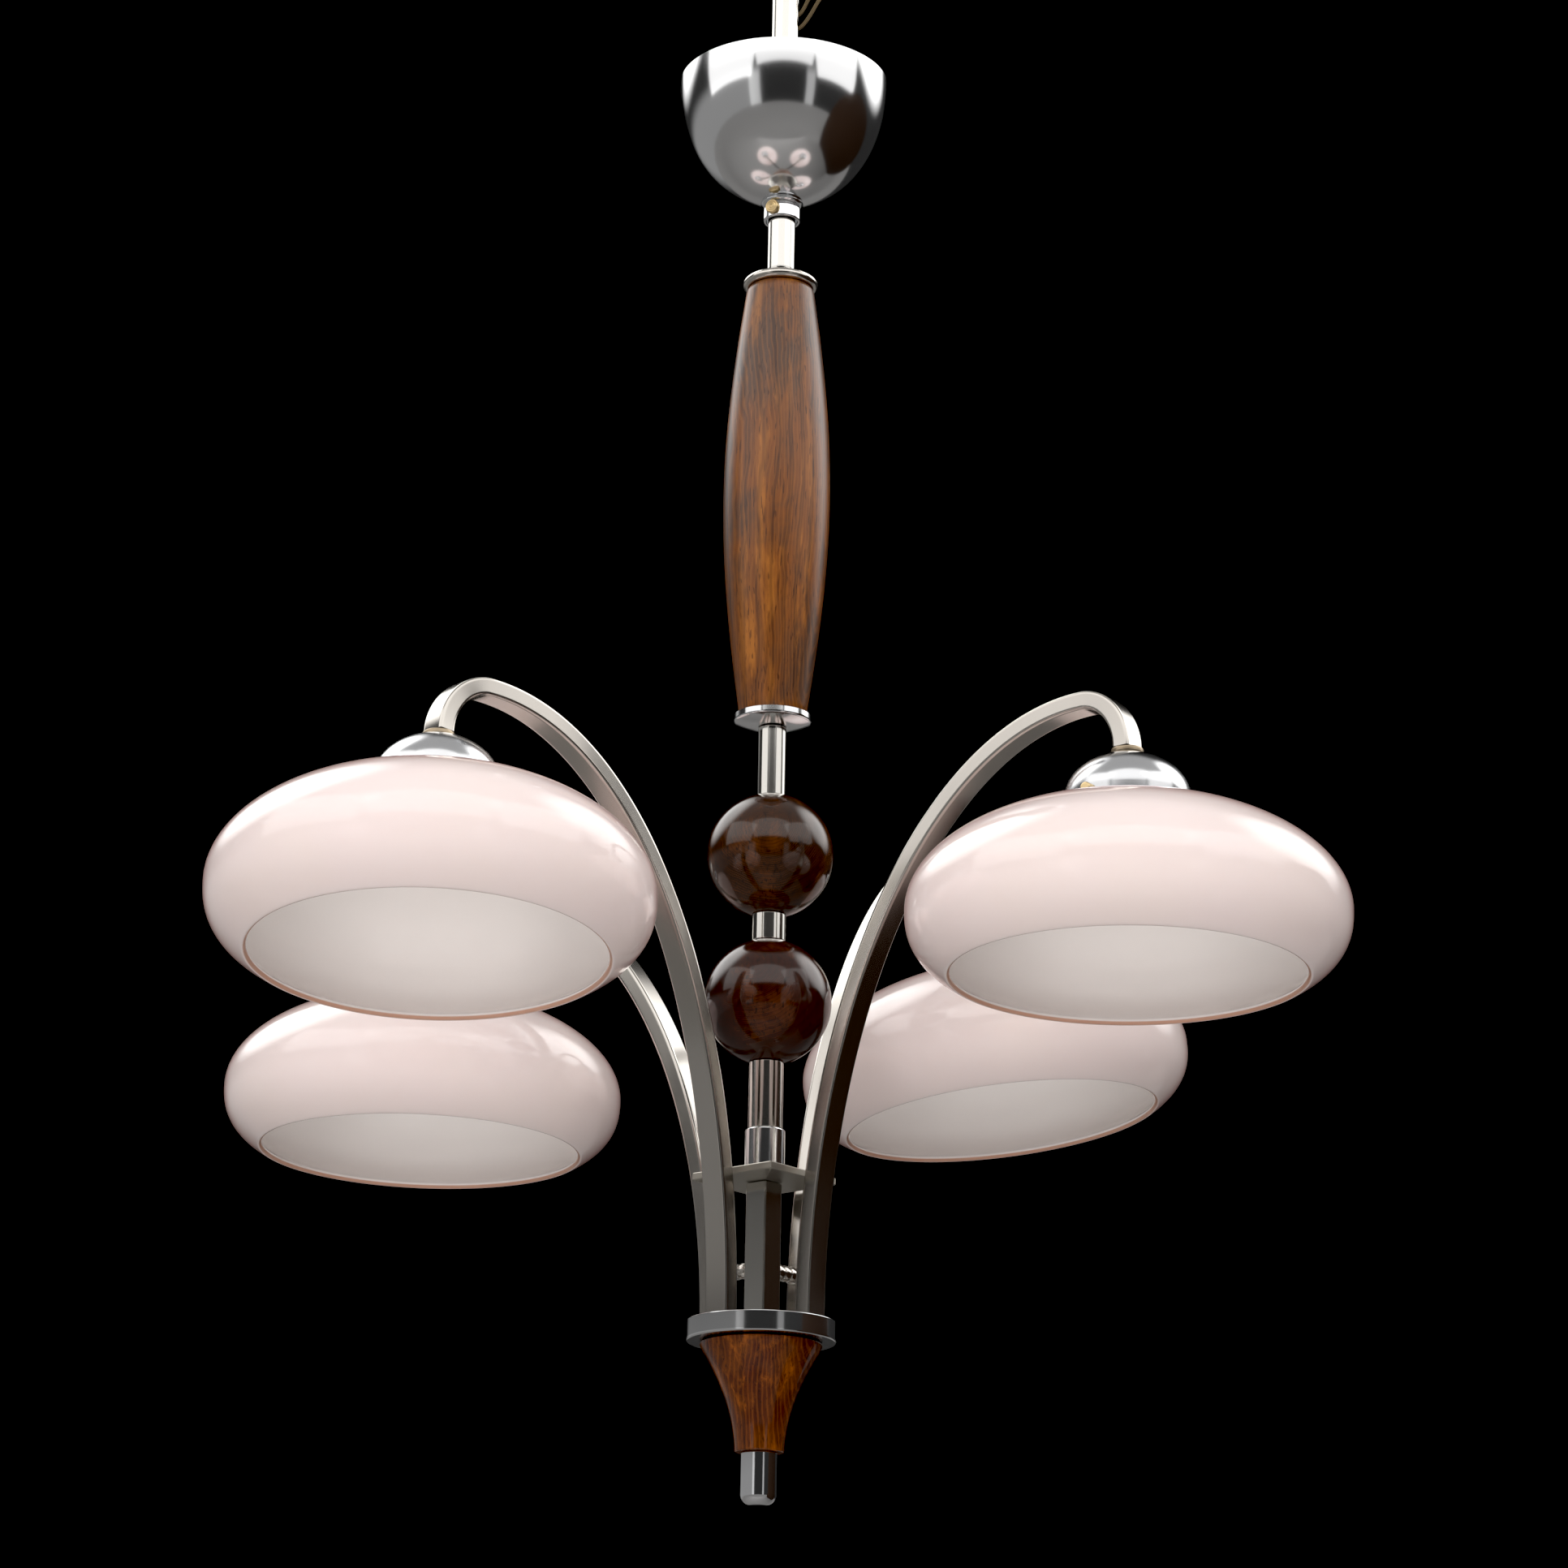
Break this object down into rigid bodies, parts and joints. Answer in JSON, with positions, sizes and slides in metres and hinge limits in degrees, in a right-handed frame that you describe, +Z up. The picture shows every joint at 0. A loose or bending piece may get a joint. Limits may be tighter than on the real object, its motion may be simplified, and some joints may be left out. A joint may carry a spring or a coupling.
{
  "type": "multi arm chandelier",
  "caption": "Hanging chandelier with turned wooden column, chromed canopy and curved metal arms that carry pink opaline glass shades.",
  "frame": {"origin": "inner top of the hanging eye, where it rests on its hook", "axes": "+Z up along the rod and column; -Y towards the front arm, +X towards the right arm"},
  "size_m": [0.5827, 0.5762, 0.7635],
  "materials": {
    "chrome": "polished, mirror bright",
    "nickel": "satin nickel plate, finely scratched",
    "dull_nickel": "dull grey-brown plate",
    "brass": "bright turned brass",
    "stained_beech": "stained and lacquered hardwood",
    "mahogany_stain": "dark red-brown stain, lacquered",
    "opaline_glass": "glossy pale pink opaline glass, white inside",
    "bakelite": "dark brown moulded insulator",
    "braided_wire": "brown braided covering",
    "porcelain": "white glazed porcelain",
    "steel": "plain zinc-plated steel"
  },
  "bodies": {
    "frame": {"arm_back": "nickel", "arm_front": "nickel", "arm_left": "nickel", "arm_nipple_back": "brass", "arm_nipple_left": "brass", "arm_right": "nickel", "arm_ring_back": "brass", "arm_ring_front": "brass", "arm_ring_left": "brass", "arm_ring_right": "brass", "arm_spreader_plate": "dull_nickel", "ball_spacer": "nickel", "base_disc": "chrome", "finial_tip": "chrome", "gallery_back": "chrome", "gallery_front": "chrome", "gallery_left": "chrome", "gallery_right": "chrome", "hanging_eye": "steel", "hanging_rod": "nickel", "lampholder_back": "bakelite", "lampholder_front": "bakelite", "lampholder_left": "bakelite", "lampholder_right": "bakelite", "lock_nut": "steel", "lower_ball": "mahogany_stain", "neck_tube": "nickel", "spindle_bottom_washer": "chrome", "spindle_top_washer": "nickel", "square_column": "nickel", "stem_collar": "chrome", "stem_tube": "nickel", "supply_wire_lower": "braided_wire", "supply_wire_upper": "braided_wire", "terminal_block": "porcelain", "tie_rod": "steel", "upper_ball": "stained_beech", "wood_finial": "stained_beech", "wood_spindle": "stained_beech"},
    "canopy": {"canopy": "chrome", "canopy_collar": "chrome"},
    "canopy_screw": {"canopy_set_screw": "brass"},
    "shade_front": {"glass_shade_front": "opaline_glass"},
    "gallery_screw_front_1": {"gallery_screw_front_1": "brass"},
    "gallery_screw_front_2": {"gallery_screw_front_2": "brass"},
    "gallery_screw_front_3": {"gallery_screw_front_3": "brass"},
    "shade_right": {"glass_shade_right": "opaline_glass"},
    "gallery_screw_right_1": {"gallery_screw_right_1": "brass"},
    "gallery_screw_right_2": {"gallery_screw_right_2": "brass"},
    "gallery_screw_right_3": {"gallery_screw_right_3": "brass"},
    "shade_back": {"glass_shade_back": "opaline_glass"},
    "gallery_screw_back_1": {"gallery_screw_back_1": "brass"},
    "gallery_screw_back_2": {"gallery_screw_back_2": "brass"},
    "gallery_screw_back_3": {"gallery_screw_back_3": "brass"},
    "shade_left": {"glass_shade_left": "opaline_glass"},
    "gallery_screw_left_1": {"gallery_screw_left_1": "brass"},
    "gallery_screw_left_2": {"gallery_screw_left_2": "brass"},
    "gallery_screw_left_3": {"gallery_screw_left_3": "brass"}
  },
  "joints": [
    {"name": "canopy_slide", "type": "slide", "parent": "frame", "child": "canopy", "axis": [0, 0, 1], "range_m": [-0.03, 0.088]},
    {"name": "canopy_screw_turned_out", "type": "slide", "parent": "canopy", "child": "canopy_screw", "axis": [0.2079, -0.9781, 0], "range_m": [0, 0.004]},
    {"name": "shade_turn_front", "type": "hinge", "parent": "frame", "child": "shade_front", "pos_m": [-0.02095, -0.19287, -0.4565], "axis": [-0.073, 0.0765, 0.9944], "continuous": true},
    {"name": "gallery_screw_front_1_turned_out", "type": "slide", "parent": "frame", "child": "gallery_screw_front_1", "axis": [0.8651, 0.501, 0.025], "range_m": [0, 0.004]},
    {"name": "gallery_screw_front_2_turned_out", "type": "slide", "parent": "frame", "child": "gallery_screw_front_2", "axis": [-0.8623, 0.4961, -0.1015], "range_m": [0, 0.004]},
    {"name": "gallery_screw_front_3_turned_out", "type": "slide", "parent": "frame", "child": "gallery_screw_front_3", "axis": [-0.0028, -0.9971, 0.0765], "range_m": [0, 0.004]},
    {"name": "shade_turn_right", "type": "hinge", "parent": "frame", "child": "shade_right", "pos_m": [0.19296, 0.00404, -0.4535], "axis": [-0.007, 0.0192, 0.9998], "continuous": true},
    {"name": "gallery_screw_right_1_turned_out", "type": "slide", "parent": "frame", "child": "gallery_screw_right_1", "axis": [0.866, 0.5, -0.0036], "range_m": [0, 0.004]},
    {"name": "gallery_screw_right_2_turned_out", "type": "slide", "parent": "frame", "child": "gallery_screw_right_2", "axis": [-0.866, 0.4998, -0.0156], "range_m": [0, 0.004]},
    {"name": "gallery_screw_right_3_turned_out", "type": "slide", "parent": "frame", "child": "gallery_screw_right_3", "axis": [-0.0001, -0.9998, 0.0192], "range_m": [0, 0.004]},
    {"name": "shade_turn_back", "type": "hinge", "parent": "frame", "child": "shade_back", "pos_m": [-0.02389, 0.18648, -0.4535], "axis": [-0.1112, -0.0641, 0.9917], "continuous": true},
    {"name": "gallery_screw_back_1_turned_out", "type": "slide", "parent": "frame", "child": "gallery_screw_back_1", "axis": [0.8589, 0.4959, 0.1284], "range_m": [0, 0.004]},
    {"name": "gallery_screw_back_2_turned_out", "type": "slide", "parent": "frame", "child": "gallery_screw_back_2", "axis": [-0.8624, 0.5021, -0.0643], "range_m": [0, 0.004]},
    {"name": "gallery_screw_back_3_turned_out", "type": "slide", "parent": "frame", "child": "gallery_screw_back_3", "axis": [0.0036, -0.9979, -0.0641], "range_m": [0, 0.004]},
    {"name": "shade_turn_left", "type": "hinge", "parent": "frame", "child": "shade_left", "pos_m": [-0.20276, -0.00992, -0.4805], "axis": [-0.007, 0.0209, 0.9998], "continuous": true},
    {"name": "gallery_screw_left_1_turned_out", "type": "slide", "parent": "frame", "child": "gallery_screw_left_1", "axis": [0.866, 0.5, -0.0044], "range_m": [0, 0.004]},
    {"name": "gallery_screw_left_2_turned_out", "type": "slide", "parent": "frame", "child": "gallery_screw_left_2", "axis": [-0.866, 0.4998, -0.0165], "range_m": [0, 0.004]},
    {"name": "gallery_screw_left_3_turned_out", "type": "slide", "parent": "frame", "child": "gallery_screw_left_3", "axis": [-0.0001, -0.9998, 0.0209], "range_m": [0, 0.004]}
  ]
}
